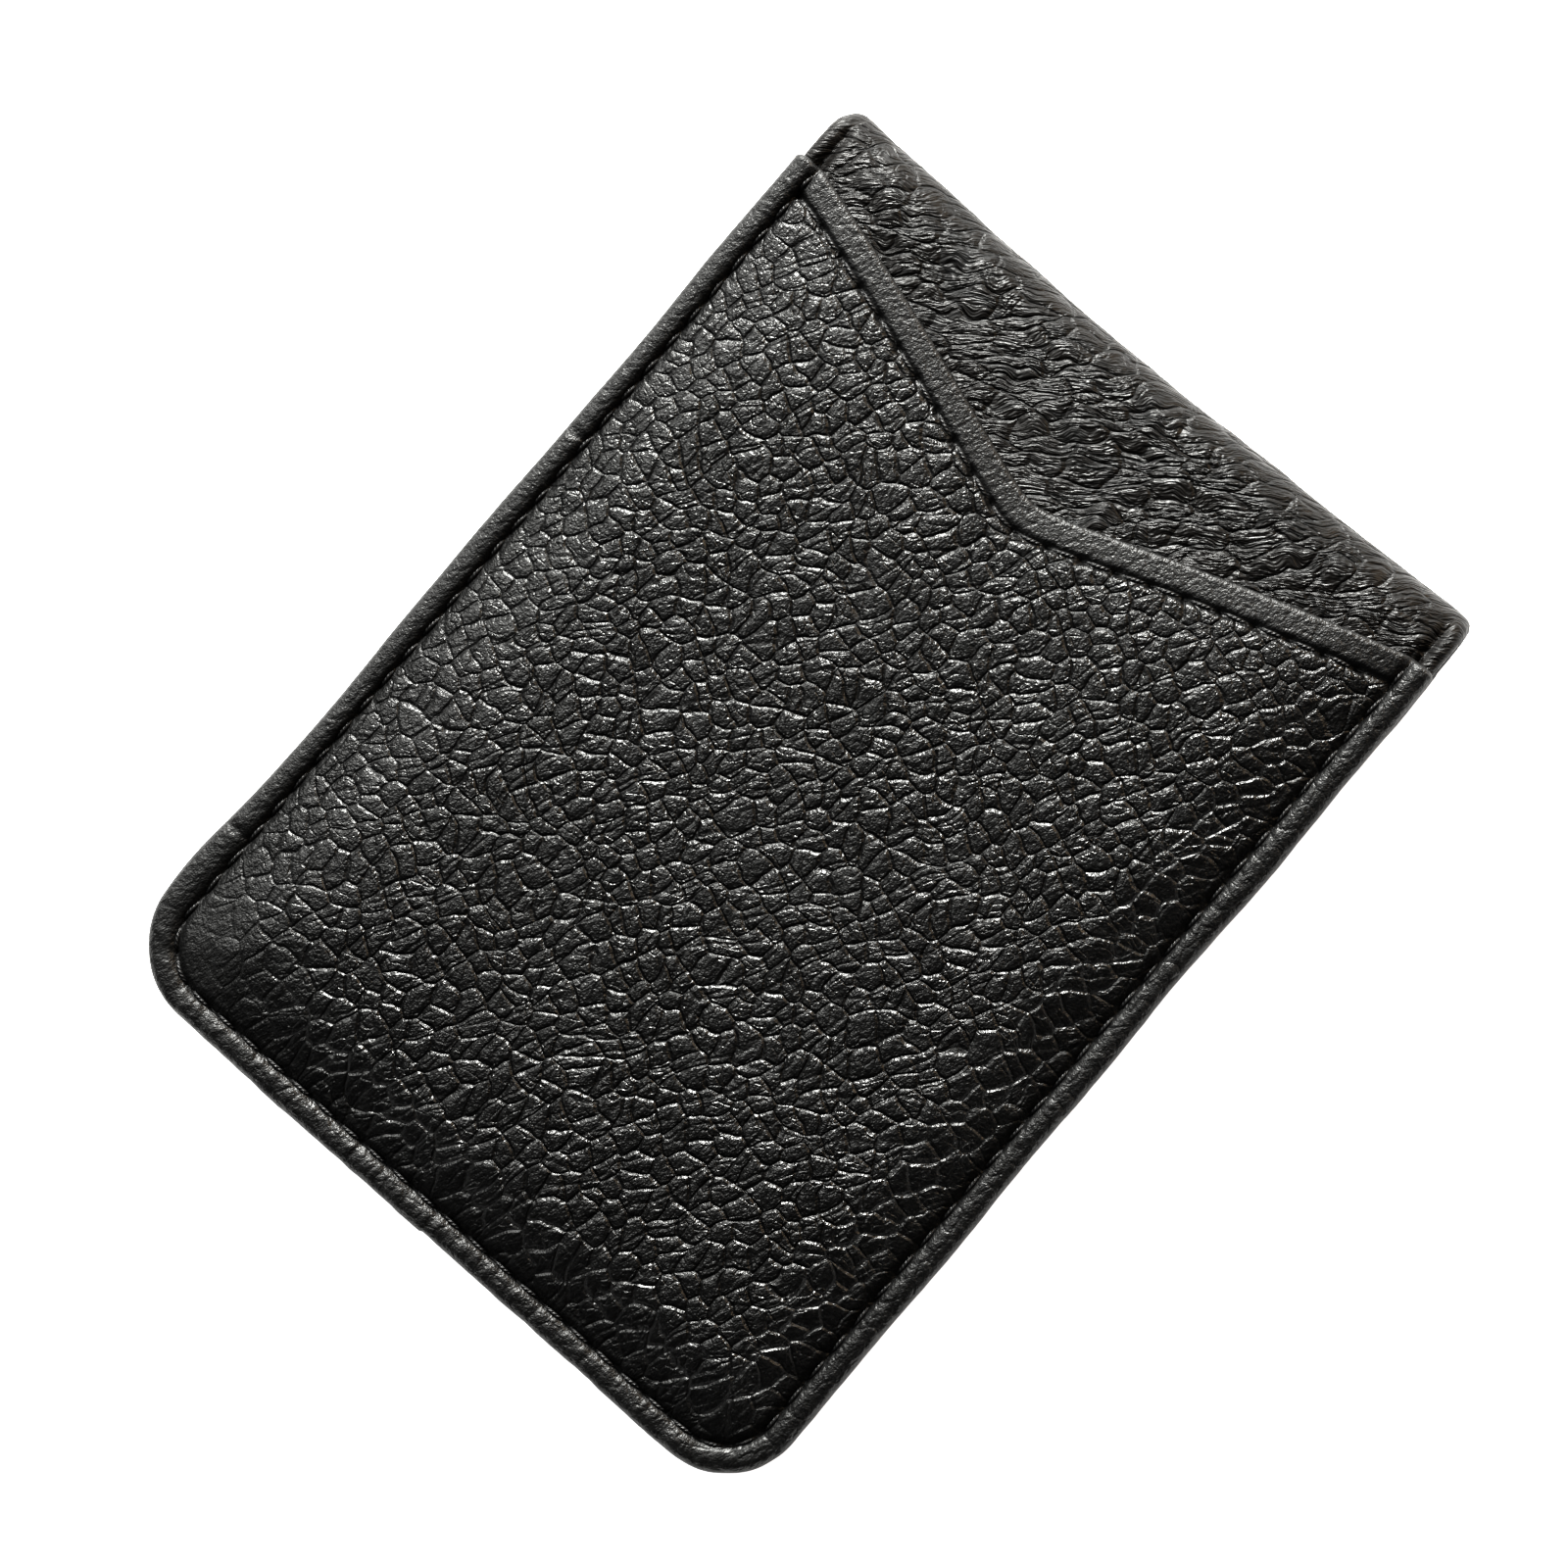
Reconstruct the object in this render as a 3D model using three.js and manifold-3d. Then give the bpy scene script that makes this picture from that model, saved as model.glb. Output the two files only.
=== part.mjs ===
// A bifold leather card holder, closed and lying on its back.
// Millimetres. +Z is up through the thickness, +Y points at the fold, X runs along the fold.
// The origin is the middle of the holder's footprint, on the surface it lies on.

import * as THREE from 'three';
import { mergeVertices } from 'three/addons/utils/BufferGeometryUtils.js';
import Module from 'manifold-3d';

const wasm = await Module();
wasm.setup();

// Overall size, closed
const WIDTH = 75;
const LENGTH = 103;
const FREE_CORNER_RADIUS = 8;
const FOLD_CORNER_RADIUS = 1.2;

// Layer thicknesses, and the gaps that keep the layers apart
const LEATHER = 1.0;
const BOARD = 0.5;
const LINING = 0.5;
const SLOT_LEATHER = 0.55;
const POCKET_LINING = 0.3;
const FOLD_LINING = 0.35;
const LAYER_GAP = 0.15;
const LEAF_GAP = 0.4;
const BUTT_GAP = 0.3;

// Front pocket
const POCKET_CROWN = 1.2;
const POCKET_SIDE_Y = 46.2;
const POCKET_NOTCH_Y = 34.3;
const NOTCH_SOFTNESS = 6;

// Where the leaves' layers end, as Y positions
const COVER_END_Y = 46.6;
const BOARD_END_Y = 43;
const LINING_END_Y = 47;
const SLOT_A_MOUTH_Y = 31;
const SLOT_B_MOUTH_Y = 23;

// How far each layer's edge stands inside the outline
const BOARD_INSET = 3.6;
const LINING_INSET = 0.5;
const SLOT_INSET = 0.4;
const POCKET_LINING_INSET = 0.6;
const FOLD_LINING_INSET = 1.2;

// Stitching
const SEAM_INSET = 2.5;
const STITCH_PITCH = 3.1;
const SLOT_STITCH_INSET = 2;
const COVER_SEAM_END_Y = 45.6;
const POCKET_SEAM_END_Y = 44.7;
const INSIDE_SEAM_END_Y = 45;
const OUTER_THREAD = { radius: 0.2, rise: 0.1, sink: -0.3, width: 0.9, depth: 0.6 };
const BACK_THREAD = { radius: 0.2, rise: -0.22, sink: -0.34, width: 0.9, depth: 0.6 };
const INNER_THREAD = { radius: 0.15, rise: -0.02, sink: -0.12, width: 0.6, depth: 0.3 };
const MOUTH_GROOVE_STEP = 3;
const MOUTH_GROOVE_RADIUS = 0.65;
const STEP_START = 1.6;
const STEP_END = 6;

const half = { x: WIDTH / 2, y: LENGTH / 2 };

// ---- Levels of the layers --------------------------------------------------------------------

// Bottom level of each layer of one leaf, counted inwards from its outer face
const depthOf = {};
depthOf.cover = 0;
depthOf.board = depthOf.cover + LEATHER + LAYER_GAP;
depthOf.lining = depthOf.board + BOARD + LAYER_GAP;
depthOf.slotA = depthOf.lining + LINING + LAYER_GAP;
depthOf.slotB = depthOf.slotA + SLOT_LEATHER + LAYER_GAP;
depthOf.inside = depthOf.slotB + SLOT_LEATHER;

const FOLD_HEIGHT = 2 * depthOf.inside + LEAF_GAP;
const FOLD_RADIUS = FOLD_HEIGHT / 2;
const BEND_Y = half.y - FOLD_RADIUS;
const POCKET_LINING_Z = FOLD_HEIGHT + LAYER_GAP;
const POCKET_PANEL_Z = POCKET_LINING_Z + POCKET_LINING + LAYER_GAP;

// ---- Solids ----------------------------------------------------------------------------------

// A watertight manifold solid from a three.js geometry
function toSolid(geometry) {
  const bare = new THREE.BufferGeometry();
  bare.setAttribute('position', geometry.getAttribute('position'));
  bare.setIndex(geometry.getIndex());
  const merged = mergeVertices(bare, 1e-4);
  return new wasm.Manifold(new wasm.Mesh({
    numProp: 3,
    vertProperties: new Float32Array(merged.getAttribute('position').array),
    triVerts: new Uint32Array(merged.getIndex().array),
  }));
}

function toGeometry(solid) {
  const mesh = solid.getMesh();
  const geometry = new THREE.BufferGeometry();
  geometry.setAttribute('position', new THREE.BufferAttribute(mesh.vertProperties, 3));
  geometry.setIndex(new THREE.BufferAttribute(mesh.triVerts, 1));
  geometry.computeVertexNormals();
  return geometry;
}

function subtractAll(geometry, cutters) {
  const solid = cutters.reduce(
    (left, cutter) => left.subtract(toSolid(cutter)),
    toSolid(geometry),
  );
  return toGeometry(solid);
}

// ---- Outlines --------------------------------------------------------------------------------

// The free end of a leaf: down one side, round both free corners and up the other side
function traceFreeEnd(shape, inset, topY) {
  const x = half.x - inset;
  const bottomY = -half.y + inset;
  const radius = FREE_CORNER_RADIUS - inset;
  shape.moveTo(-x, topY);
  shape.lineTo(-x, bottomY + radius);
  shape.absarc(-x + radius, bottomY + radius, radius, Math.PI, 1.5 * Math.PI, false);
  shape.lineTo(x - radius, bottomY);
  shape.absarc(x - radius, bottomY + radius, radius, 1.5 * Math.PI, 2 * Math.PI, false);
  shape.lineTo(x, topY);
  return shape;
}

// A leaf layer that stops at a straight edge with slightly rounded corners
function leafOutline(inset, endY) {
  const x = half.x - inset;
  const shape = traceFreeEnd(new THREE.Shape(), inset, endY - FOLD_CORNER_RADIUS);
  shape.absarc(x - FOLD_CORNER_RADIUS, endY - FOLD_CORNER_RADIUS, FOLD_CORNER_RADIUS,
    0, Math.PI / 2, false);
  shape.absarc(-x + FOLD_CORNER_RADIUS, endY - FOLD_CORNER_RADIUS, FOLD_CORNER_RADIUS,
    Math.PI / 2, Math.PI, false);
  return shape;
}

// A pocket layer whose top edge dips in a soft V, lowered by the given drop
function pocketOutline(inset, drop) {
  const slope = (POCKET_SIDE_Y - POCKET_NOTCH_Y) / half.x;
  const sideY = POCKET_SIDE_Y - drop - inset * slope;
  const notchY = POCKET_NOTCH_Y - drop;
  const softY = notchY + NOTCH_SOFTNESS * slope;
  const shape = traceFreeEnd(new THREE.Shape(), inset, sideY);
  shape.lineTo(NOTCH_SOFTNESS, softY);
  shape.quadraticCurveTo(0, notchY, -NOTCH_SOFTNESS, softY);
  return shape;
}

function plate(outline, thickness) {
  return new THREE.ExtrudeGeometry(outline, {
    depth: thickness,
    bevelEnabled: false,
    curveSegments: 4,
  });
}

// ---- The crowned pocket ----------------------------------------------------------------------

// Height of the pocket's pillow above its edge
function crownAt(x, y) {
  const across = 1 - Math.min(1, Math.abs(x / (half.x - SEAM_INSET))) ** 4;
  const middleY = (POCKET_SIDE_Y - half.y) / 2;
  const reach = (POCKET_SIDE_Y + half.y) / 2 - SEAM_INSET;
  const along = 1 - Math.min(1, Math.abs((y - middleY) / reach)) ** 4;
  return POCKET_CROWN * across * along;
}

// A sheet of even thickness that follows the crown inside the given outline
function crownedSheet(outline, thickness) {
  const slab = new THREE.BoxGeometry(WIDTH + 2, LENGTH + 2, thickness, 12, 16, 1);
  slab.translate(0, 0, thickness / 2);
  const position = slab.getAttribute('position');
  for (let i = 0; i < position.count; i += 1) {
    const lift = crownAt(position.getX(i), position.getY(i));
    position.setZ(i, position.getZ(i) + lift);
  }
  const prism = plate(outline, 6);
  prism.translate(0, 0, -2);
  return toGeometry(toSolid(slab).intersect(toSolid(prism)));
}

// ---- The fold --------------------------------------------------------------------------------

// A sheet that comes in along the back, rolls round the fold and goes out along the front
function foldedSheet(depth, thickness, width, endY) {
  const outer = FOLD_RADIUS - depth;
  const inner = outer - thickness;
  const profile = new THREE.Shape();
  profile.moveTo(endY, FOLD_RADIUS - outer);
  profile.lineTo(BEND_Y, FOLD_RADIUS - outer);
  profile.absarc(BEND_Y, FOLD_RADIUS, outer, -Math.PI / 2, Math.PI / 2, false);
  profile.lineTo(endY, FOLD_RADIUS + outer);
  profile.lineTo(endY, FOLD_RADIUS + inner);
  profile.lineTo(BEND_Y, FOLD_RADIUS + inner);
  profile.absarc(BEND_Y, FOLD_RADIUS, inner, Math.PI / 2, -Math.PI / 2, true);
  profile.lineTo(endY, FOLD_RADIUS - inner);
  const sheet = new THREE.ExtrudeGeometry(profile, {
    depth: width,
    bevelEnabled: false,
    curveSegments: 12,
  });
  sheet.translate(0, 0, -width / 2);
  const turn = new THREE.Matrix4().makeBasis(
    new THREE.Vector3(0, 1, 0),
    new THREE.Vector3(0, 0, 1),
    new THREE.Vector3(1, 0, 0),
  );
  return sheet.applyMatrix4(turn);
}

// ---- Stitching -------------------------------------------------------------------------------

// Seam line round the free end of a leaf, from one side of the fold to the other
function edgeSeam(endY) {
  return traceFreeEnd(new THREE.Path(), SEAM_INSET, endY);
}

// Seam line under the V mouth
function mouthSeam() {
  const reach = half.x - SEAM_INSET - 1;
  const slope = (POCKET_SIDE_Y - POCKET_NOTCH_Y) / half.x;
  const notchY = POCKET_NOTCH_Y - SEAM_INSET;
  const path = new THREE.Path();
  path.moveTo(-reach, notchY + reach * slope);
  path.lineTo(-NOTCH_SOFTNESS, notchY + NOTCH_SOFTNESS * slope);
  path.quadraticCurveTo(0, notchY, NOTCH_SOFTNESS, notchY + NOTCH_SOFTNESS * slope);
  path.lineTo(reach, notchY + reach * slope);
  return path;
}

// Straight seam line under a slot mouth
function slotSeam(mouthY) {
  const reach = half.x - SEAM_INSET - 1;
  const path = new THREE.Path();
  path.moveTo(-reach, mouthY - SLOT_STITCH_INSET);
  path.lineTo(reach, mouthY - SLOT_STITCH_INSET);
  return path;
}

// A round bar that follows a seam line; heightAt gives its centre's level at each point
function barAlong(seam, steps, radius, sides, heightAt) {
  const points = seam.getSpacedPoints(steps)
    .map((point, i) => new THREE.Vector3(point.x, point.y, heightAt(point, i)));
  const route = new THREE.CatmullRomCurve3(points, false, 'centripetal');
  const section = new THREE.Shape();
  for (let i = 0; i < sides; i += 1) {
    const angle = (2 * Math.PI * (i + 0.5)) / sides;
    const [x, y] = [radius * Math.cos(angle), radius * Math.sin(angle)];
    if (i === 0) {
      section.moveTo(x, y);
    } else {
      section.lineTo(x, y);
    }
  }
  section.closePath();
  return new THREE.ExtrudeGeometry(section, { steps, extrudePath: route, bevelEnabled: false });
}

// One thread that dips into the leather between stitches; outward is +1 or -1 in Z
function threadAlong(seam, thread, surfaceAt, outward) {
  const stitches = Math.round(seam.getLength() / STITCH_PITCH);
  return barAlong(seam, 2 * stitches, thread.radius, 4, (point, i) => {
    const lift = i % 2 === 0 ? thread.sink : thread.rise;
    return surfaceAt(point) + outward * lift;
  });
}

// The cutter for a groove round the free end, sunk into a flat face at the given level
function edgeGroove(thread, endY, surface) {
  const outline = traceFreeEnd(new THREE.Shape(), SEAM_INSET - thread.width / 2, endY);
  const inner = traceFreeEnd(new THREE.Path(), SEAM_INSET + thread.width / 2, endY);
  for (const point of inner.getPoints(4).reverse()) {
    outline.lineTo(point.x, point.y);
  }
  const cutter = plate(outline, 2 * thread.depth);
  return cutter.translate(0, 0, surface - thread.depth);
}

// The cutter for a straight groove along a slot mouth
function slotGroove(thread, mouthY, surface) {
  const length = WIDTH - 2 * SEAM_INSET - 1;
  const cutter = new THREE.BoxGeometry(length, thread.width, 2 * thread.depth);
  return cutter.translate(0, mouthY - SLOT_STITCH_INSET, surface);
}

// The cutter for the groove along the V mouth, which follows the crowned surface
function mouthGroove(surfaceAt) {
  const seam = mouthSeam();
  const steps = Math.round(seam.getLength() / MOUTH_GROOVE_STEP);
  return barAlong(seam, steps, MOUTH_GROOVE_RADIUS, 6, surfaceAt);
}

// ---- Assembly --------------------------------------------------------------------------------

const blackLeather = { color: 0x17171a, roughness: 0.48, metalness: 0 };
const slotLeather = { color: 0x1b1b1e, roughness: 0.55, metalness: 0 };
const liningCloth = { color: 0x202024, roughness: 0.9, metalness: 0 };
const board = { color: 0x6e6558, roughness: 0.95, metalness: 0 };
const thread = { color: 0x101012, roughness: 0.6, metalness: 0 };

const holder = new THREE.Group();
holder.name = 'card_holder';
const backLeaf = new THREE.Group();
backLeaf.name = 'back_leaf';
const frontLeaf = new THREE.Group();
frontLeaf.name = 'front_leaf';
const fold = new THREE.Group();
fold.name = 'fold';
holder.add(backLeaf, frontLeaf, fold);

function addPiece(group, name, geometry, look, z = 0) {
  const mesh = new THREE.Mesh(geometry, new THREE.MeshStandardMaterial(look));
  mesh.name = name;
  mesh.position.z = z;
  group.add(mesh);
}

// How deep the inside seam's thread lies at a point: it steps down past each slot mouth
function insideDepthAt(point) {
  const stepPast = (mouthY) => THREE.MathUtils.clamp(
    (point.y - mouthY - STEP_START) / (STEP_END - STEP_START), 0, 1,
  );
  const drop = SLOT_LEATHER + LAYER_GAP;
  return depthOf.inside - drop * (stepPast(SLOT_B_MOUTH_Y) + stepPast(SLOT_A_MOUTH_Y));
}

// Both leaves hold the same layers; the front leaf is the back leaf's stack turned over.
// levelOf turns a depth below the outer face into a Z level.
function addLeafLayers(group, side, levelOf, inward) {
  const place = (depth, thickness) => Math.min(levelOf(depth), levelOf(depth + thickness));
  const insideSeam = edgeSeam(INSIDE_SEAM_END_Y - 0.5);
  const insideAt = (point) => levelOf(insideDepthAt(point));

  const boardPlate = plate(leafOutline(BOARD_INSET, BOARD_END_Y), BOARD);
  addPiece(group, `${side}_stiffener_board`, boardPlate, board, place(depthOf.board, BOARD));

  const layers = [
    { name: 'inner_lining', depth: depthOf.lining, thickness: LINING, endY: LINING_END_Y,
      inset: LINING_INSET, look: liningCloth, stitched: false },
    { name: 'slot_panel_a', depth: depthOf.slotA, thickness: SLOT_LEATHER,
      endY: SLOT_A_MOUTH_Y, inset: SLOT_INSET, look: slotLeather, stitched: true },
    { name: 'slot_panel_b', depth: depthOf.slotB, thickness: SLOT_LEATHER,
      endY: SLOT_B_MOUTH_Y, inset: SLOT_INSET, look: slotLeather, stitched: true },
  ];
  for (const layer of layers) {
    const z = place(layer.depth, layer.thickness);
    const sheet = plate(leafOutline(layer.inset, layer.endY), layer.thickness);
    sheet.translate(0, 0, z);
    const surface = levelOf(layer.depth + layer.thickness);
    const cutters = [edgeGroove(INNER_THREAD, INSIDE_SEAM_END_Y, surface)];
    if (layer.stitched) {
      cutters.push(slotGroove(INNER_THREAD, layer.endY, surface));
      const row = threadAlong(slotSeam(layer.endY), INNER_THREAD, () => surface, inward);
      addPiece(group, `${side}_${layer.name.replace('panel', 'stitching')}`, row, thread);
    }
    addPiece(group, `${side}_${layer.name}`, subtractAll(sheet, cutters), layer.look);
  }
  const insideRow = threadAlong(insideSeam, INNER_THREAD, insideAt, inward);
  addPiece(group, `${side}_inner_edge_stitching`, insideRow, thread);
}

// Back leaf: it lies on its cover leather
const coverOutline = traceFreeEnd(new THREE.Shape(), 0, COVER_END_Y);
const backSeam = edgeSeam(COVER_SEAM_END_Y - 0.5);
const backGroove = edgeGroove(BACK_THREAD, COVER_SEAM_END_Y, 0);
const backCover = plate(coverOutline, LEATHER);
addPiece(backLeaf, 'back_cover_leather', subtractAll(backCover, [backGroove]), blackLeather);
const backRow = threadAlong(backSeam, BACK_THREAD, () => 0, -1);
addPiece(backLeaf, 'back_edge_stitching', backRow, thread);
addLeafLayers(backLeaf, 'back', (depth) => depth, 1);

// Front leaf: the same layers turned over, with the V-mouthed pocket on top
const frontCover = plate(coverOutline, LEATHER);
addPiece(frontLeaf, 'front_cover_leather', frontCover, blackLeather, FOLD_HEIGHT - LEATHER);
addLeafLayers(frontLeaf, 'front', (depth) => FOLD_HEIGHT - depth, -1);

const pocketLining = crownedSheet(pocketOutline(POCKET_LINING_INSET, 0.6), POCKET_LINING);
addPiece(frontLeaf, 'front_pocket_lining', pocketLining, liningCloth, POCKET_LINING_Z);

const pocketTopAt = (point) => LEATHER + crownAt(point.x, point.y);
const pocketPanel = subtractAll(crownedSheet(pocketOutline(0, 0), LEATHER), [
  edgeGroove(OUTER_THREAD, POCKET_SEAM_END_Y, LEATHER),
  mouthGroove(pocketTopAt),
]);
addPiece(frontLeaf, 'front_pocket_panel', pocketPanel, blackLeather, POCKET_PANEL_Z);
const pocketEdgeSeam = edgeSeam(POCKET_SEAM_END_Y - 0.5);
const edgeRow = threadAlong(pocketEdgeSeam, OUTER_THREAD, () => LEATHER, 1);
addPiece(frontLeaf, 'front_edge_stitching', edgeRow, thread, POCKET_PANEL_Z);
const mouthRow = threadAlong(mouthSeam(), OUTER_THREAD, pocketTopAt, 1);
addPiece(frontLeaf, 'pocket_mouth_stitching', mouthRow, thread, POCKET_PANEL_Z);

// Fold: the cover leather and its lining roll over the top
const foldLeather = foldedSheet(0, LEATHER, WIDTH, COVER_END_Y + BUTT_GAP);
addPiece(fold, 'fold_leather', foldLeather, blackLeather);
const liningWidth = WIDTH - 2 * FOLD_LINING_INSET;
const foldLining = foldedSheet(
  LEATHER + LAYER_GAP, FOLD_LINING, liningWidth, BOARD_END_Y + BUTT_GAP,
);
addPiece(fold, 'fold_lining', foldLining, liningCloth);

export default holder;
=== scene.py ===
# %% [markdown]
# # A pebbled leather card holder
# The real object is a small wallet made of black grained leather. Two thin leaves are joined by
# one soft fold at the top, and the front leaf carries a pocket whose mouth dips in a shallow V.
# Thin leather goods have almost no shape of their own, so everything is in the surface: pillowed
# panels, rolled edges that pucker at each stitch, and a grain of small rounded pebbles.
# The first cell loads the fixed frame. Every size below is in millimetres until a mesh is made,
# because that is how a leather worker measures.

import math

import bpy
import numpy as np
from mathutils import Matrix, Vector


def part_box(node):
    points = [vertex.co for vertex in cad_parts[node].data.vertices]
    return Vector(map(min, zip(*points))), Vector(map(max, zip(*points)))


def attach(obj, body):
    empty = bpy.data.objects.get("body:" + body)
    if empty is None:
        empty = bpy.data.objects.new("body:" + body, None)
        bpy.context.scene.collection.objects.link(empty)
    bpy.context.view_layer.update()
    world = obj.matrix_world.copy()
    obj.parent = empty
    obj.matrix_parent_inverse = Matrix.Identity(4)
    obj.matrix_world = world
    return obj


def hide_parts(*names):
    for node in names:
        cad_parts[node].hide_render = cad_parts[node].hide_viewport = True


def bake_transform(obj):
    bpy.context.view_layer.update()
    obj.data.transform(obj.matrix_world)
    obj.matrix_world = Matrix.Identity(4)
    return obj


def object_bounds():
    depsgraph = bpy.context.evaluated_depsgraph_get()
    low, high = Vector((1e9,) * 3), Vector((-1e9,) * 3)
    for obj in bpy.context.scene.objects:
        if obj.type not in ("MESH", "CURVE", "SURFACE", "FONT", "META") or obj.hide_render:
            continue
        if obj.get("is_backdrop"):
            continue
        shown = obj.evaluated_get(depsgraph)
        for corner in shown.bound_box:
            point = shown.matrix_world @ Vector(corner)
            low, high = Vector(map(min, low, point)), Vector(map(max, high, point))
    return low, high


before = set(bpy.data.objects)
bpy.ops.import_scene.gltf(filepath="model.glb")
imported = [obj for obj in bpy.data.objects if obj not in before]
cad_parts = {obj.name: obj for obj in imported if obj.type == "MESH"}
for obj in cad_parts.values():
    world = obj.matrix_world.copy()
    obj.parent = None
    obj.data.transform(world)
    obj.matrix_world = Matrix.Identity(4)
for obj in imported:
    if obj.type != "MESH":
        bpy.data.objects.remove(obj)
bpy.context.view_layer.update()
MM = 0.001


def box_mm(node):
    """Lowest and highest corner of a CAD node in millimetres."""
    low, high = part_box(node)
    return np.array(low) / MM, np.array(high) / MM


panel_low, panel_high = box_mm("front_pocket_panel")
cover_low, cover_high = box_mm("back_cover_leather")
fold_low, fold_high = box_mm("fold_leather")
HALF_WIDTH = panel_high[0]
FREE_END_Y = panel_low[1]
FOLD_TOP_Y = fold_high[1]
COVER_END_Y = cover_high[1]
LEATHER = cover_high[2] - cover_low[2]
FOLD_RADIUS = (fold_high[2] - fold_low[2]) / 2
BEND_Y = FOLD_TOP_Y - FOLD_RADIUS
CORNER_RADIUS = 8.0
SEAM_INSET = 2.5
print("leaf", 2 * HALF_WIDTH, "x", FOLD_TOP_Y - FREE_END_Y, "mm, fold radius", FOLD_RADIUS)

# %% [markdown]
# ## Uneven by hand
# Nothing sewn is exactly regular. A seam wanders by a fraction of a millimetre and a panel is never
# quite flat. A texture could fake this, but then the outline would stay perfect. Here a small
# function gives a smooth, seeded random height at any point, and the meshes themselves use it.

# %% Smooth seeded unevenness
def uneven(x, y, size, seed):
    """Smooth noise from -1 to 1 whose bumps are about size apart."""
    lattice = np.random.default_rng(seed).uniform(-1, 1, (64, 64))
    gx, gy = np.broadcast_arrays(np.asarray(x, float) / size, np.asarray(y, float) / size)
    x0, y0 = np.floor(gx).astype(int), np.floor(gy).astype(int)
    fx, fy = gx - x0, gy - y0
    fx, fy = fx * fx * (3 - 2 * fx), fy * fy * (3 - 2 * fy)
    corner = lambda i, j: lattice[(x0 + i) % 64, (y0 + j) % 64]
    near = corner(0, 0) * (1 - fx) + corner(1, 0) * fx
    far = corner(0, 1) * (1 - fx) + corner(1, 1) * fx
    return near * (1 - fy) + far * fy


def ease(low, high, value):
    """0 below low, 1 above high, and a smooth step between."""
    t = np.clip((np.asarray(value, float) - low) / (high - low), 0, 1)
    return t * t * (3 - 2 * t)


def as_sewn(points):
    """The small skew and sag that a hand-turned leaf has, for points of any piece."""
    x, y = points[:, 0], points[:, 1]
    from_fold = (FOLD_TOP_Y - y) / (FOLD_TOP_Y - FREE_END_Y)
    near_fold = ease(0.05, 0.0, from_fold)
    moved = points.copy()
    down = np.clip(from_fold, 0, 1)
    moved[:, 0] *= 1 + 0.012 * down
    moved[:, 1] += (0.2 - 0.3 * x / HALF_WIDTH) * down
    moved[:, 1] += near_fold * ((1.1 - 0.35 * np.sign(x)) * (x / HALF_WIDTH) ** 2 - 0.25)
    return moved


print("seeded unevenness at the origin:", float(uneven(0.3, 0.7, 1.0, 5)))

# %% [markdown]
# ## The grain
# Pebble grain is made by tumbling or embossing the hide until it breaks into rounded islands with
# narrow creases between them. Voronoi cells give just that: the distance to a cell's edge is zero
# in the creases and grows over each island. Three sizes are laid over each other: long deep
# creases, the pebbles, and fine cracks on top of the pebbles.
# The same recipe is needed twice, once to move the mesh and once to shade it. Geometry nodes and
# shader nodes share these texture nodes, so one function fills both kinds of group, and the creases
# fall in the same place in both.

# %% A short hand for wiring nodes
class Bench:
    """Adds nodes to one tree and links them as they are made."""

    def __init__(self, tree):
        self.tree = tree

    def add(self, kind, settings=(), **inputs):
        node = self.tree.nodes.new(kind)
        for name, value in dict(settings).items():
            setattr(node, name, value)
        for name, value in inputs.items():
            self.feed(node.inputs[name.replace("_", " ")], value)
        return node

    def feed(self, socket, value):
        if isinstance(value, bpy.types.NodeSocket):
            self.tree.links.new(value, socket)
        else:
            socket.default_value = value

    def math(self, operation, a, b=0.0, c=0.0):
        node = self.add("ShaderNodeMath", {"operation": operation})
        for socket, value in zip(node.inputs, (a, b, c)):
            self.feed(socket, value)
        return node.outputs[0]

    def vector(self, operation, a, b=None, scale=None):
        node = self.add("ShaderNodeVectorMath", {"operation": operation})
        self.feed(node.inputs[0], a)
        if b is not None:
            self.feed(node.inputs[1], b)
        if scale is not None:
            self.feed(node.inputs["Scale"], scale)
        return node.outputs[0]

    def step(self, value, low, high, start=0.0, end=1.0):
        """A smooth step from start to end while value goes from low to high."""
        node = self.add(
            "ShaderNodeMapRange", {"interpolation_type": "SMOOTHSTEP"},
            Value=value, From_Min=low, From_Max=high, To_Min=start, To_Max=end,
        )
        return node.outputs["Result"]

    def slope(self, value, high):
        """A straight ramp from 0 to 1 while value goes from 0 to high."""
        return self.add("ShaderNodeMapRange", Value=value, From_Max=high).outputs["Result"]

    def noise(self, where, scale, detail=2.0, rough=0.5):
        inputs = {"Vector": where, "Scale": scale, "Detail": detail, "Roughness": rough}
        return self.add("ShaderNodeTexNoise", **inputs).outputs[0]

    def cells(self, where, scale, loose=1.0):
        settings = {"voronoi_dimensions": "2D", "feature": "DISTANCE_TO_EDGE"}
        node = self.add("ShaderNodeTexVoronoi", settings, Vector=where, Scale=scale, Randomness=loose)
        return node.outputs["Distance"]

    def group(self, tree, **inputs):
        kind = "GeometryNodeGroup" if self.tree.type == "GEOMETRY" else "ShaderNodeGroup"
        return self.add(kind, {"node_tree": tree}, **inputs)


def new_group(name, kind, inputs, outputs):
    """An empty node group with the named sockets; returns it with its bench, input and output."""
    tree = bpy.data.node_groups.new(name, kind)
    for socket, (socket_kind, default) in inputs.items():
        made = tree.interface.new_socket(name=socket, in_out="INPUT", socket_type=socket_kind)
        if default is not None:
            made.default_value = default
    for socket, socket_kind in outputs.items():
        tree.interface.new_socket(name=socket, in_out="OUTPUT", socket_type=socket_kind)
    return tree, Bench(tree), tree.nodes.new("NodeGroupInput"), tree.nodes.new("NodeGroupOutput")


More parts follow.
